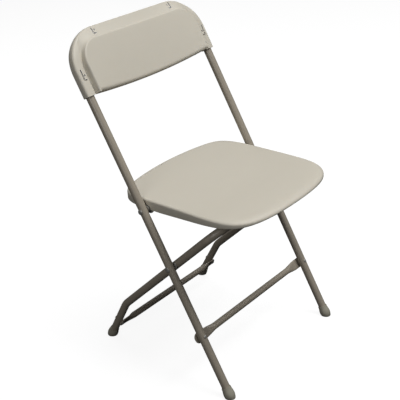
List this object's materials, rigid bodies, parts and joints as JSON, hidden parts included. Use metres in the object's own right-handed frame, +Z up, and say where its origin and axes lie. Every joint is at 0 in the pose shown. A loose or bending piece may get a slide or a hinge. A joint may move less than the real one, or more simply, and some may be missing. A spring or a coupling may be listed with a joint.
{
  "type": "folding chair",
  "caption": "Folding chair with crossed steel-tube legs, a moulded plastic seat that folds up between the long tubes and a moulded back slipped over their top bend.",
  "frame": {"origin": "on the floor under the middle of the open chair", "axes": "+Z up, the chair faces -Y, its left side (a sitter's left) is +X"},
  "size_m": [0.4274, 0.4714, 0.7838],
  "materials": {
    "moulded_plastic": "fine matt grain, warm bone beige",
    "painted_tube": "satin taupe powder coat",
    "foot_plastic": "matt grey-taupe moulding",
    "plated_steel": "dull zinc plate",
    "plated_fastener": "dull zinc plate, domed heads"
  },
  "bodies": {
    "frame": {"long_frame_tube": "painted_tube", "front_brace": "painted_tube", "backrest": "moulded_plastic", "front_foot_right": "foot_plastic", "front_brace_rivet_right": "plated_fastener", "crossing_rivet_right": "plated_fastener", "crossing_spacer_right": "plated_steel", "seat_pivot_rivet_right": "plated_fastener", "seat_pivot_bush_right": "plated_steel", "front_foot_left": "foot_plastic", "front_brace_rivet_left": "plated_fastener", "crossing_rivet_left": "plated_fastener", "crossing_spacer_left": "plated_steel", "seat_pivot_rivet_left": "plated_fastener", "seat_pivot_bush_left": "plated_steel"},
    "rear_legs": {"rear_leg_tube": "painted_tube", "rear_brace": "painted_tube", "rear_brace_rivet_right": "plated_fastener", "rear_foot_right": "foot_plastic", "rear_brace_rivet_left": "plated_fastener", "rear_foot_left": "foot_plastic"},
    "fold_links": {"fold_link_right": "plated_steel", "fold_link_left": "plated_steel"},
    "seat": {"seat_shell": "moulded_plastic", "seat_bracket_right": "plated_steel", "seat_bracket_screw_right_front": "plated_fastener", "seat_bracket_screw_right_rear": "plated_fastener", "link_bracket_right": "plated_steel", "link_bracket_screw_right_front": "plated_fastener", "link_bracket_screw_right_rear": "plated_fastener", "link_pin_right": "plated_fastener", "seat_bracket_left": "plated_steel", "seat_bracket_screw_left_front": "plated_fastener", "seat_bracket_screw_left_rear": "plated_fastener", "link_bracket_left": "plated_steel", "link_bracket_screw_left_front": "plated_fastener", "link_bracket_screw_left_rear": "plated_fastener", "link_pin_left": "plated_fastener"}
  },
  "joints": [
    {"name": "rear_leg_fold", "type": "hinge", "parent": "frame", "child": "rear_legs", "pos_m": [0, -0.03493, 0.28722], "axis": [-1, 0, 0], "range_deg": [0, 64]},
    {"name": "seat_fold", "type": "hinge", "parent": "frame", "child": "seat", "pos_m": [0, 0.03159, 0.41234], "axis": [-1, 0, 0], "range_deg": [0, 118]},
    {"name": "link_fold", "type": "hinge", "parent": "rear_legs", "child": "fold_links", "pos_m": [0, -0.15554, 0.40128], "axis": [1, 0, 0], "range_deg": [0, 111.15]}
  ],
  "couplings": [
    {"joint": "seat_fold", "follows": "rear_leg_fold", "ratio": 1.8438},
    {"joint": "link_fold", "follows": "rear_leg_fold", "ratio": 1.7367}
  ]
}
